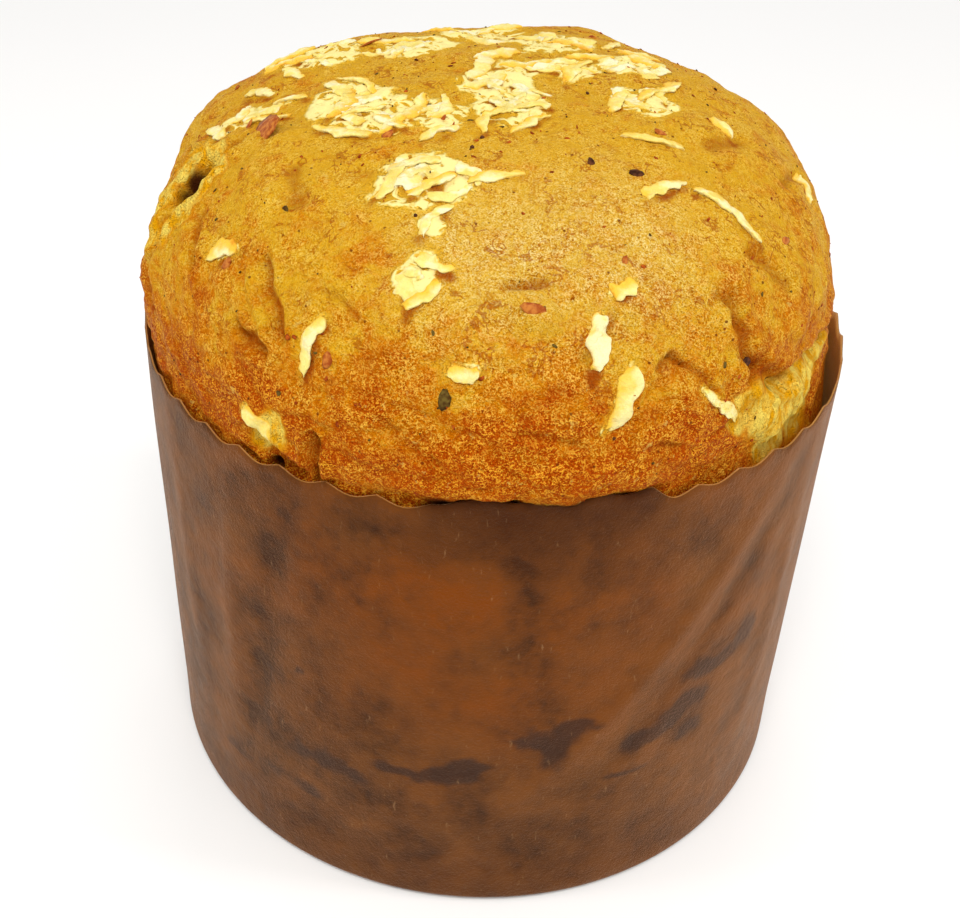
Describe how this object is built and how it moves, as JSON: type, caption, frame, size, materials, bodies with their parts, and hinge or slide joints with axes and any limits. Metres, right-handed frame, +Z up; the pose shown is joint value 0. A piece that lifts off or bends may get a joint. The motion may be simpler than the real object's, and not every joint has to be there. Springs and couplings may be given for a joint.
{
  "type": "panettone",
  "caption": "Savoury panettone: domed golden loaf with cracked crust and grated cheese baked on, in a brown cylindrical paper case with a scalloped rim.",
  "frame": {"origin": "middle of the underside of the paper case, on the surface that it stands on", "axes": "+Z up through the crown, -Y towards the front of the loaf, where the crown hangs over the rim"},
  "size_m": [0.135, 0.1371, 0.143],
  "materials": {
    "crust": "matte",
    "case_paper": "satin",
    "base_paper": "matte"
  },
  "bodies": {
    "root": {"bread": "crust", "paper_case": "case_paper", "case_base": "base_paper"}
  },
  "joints": []
}
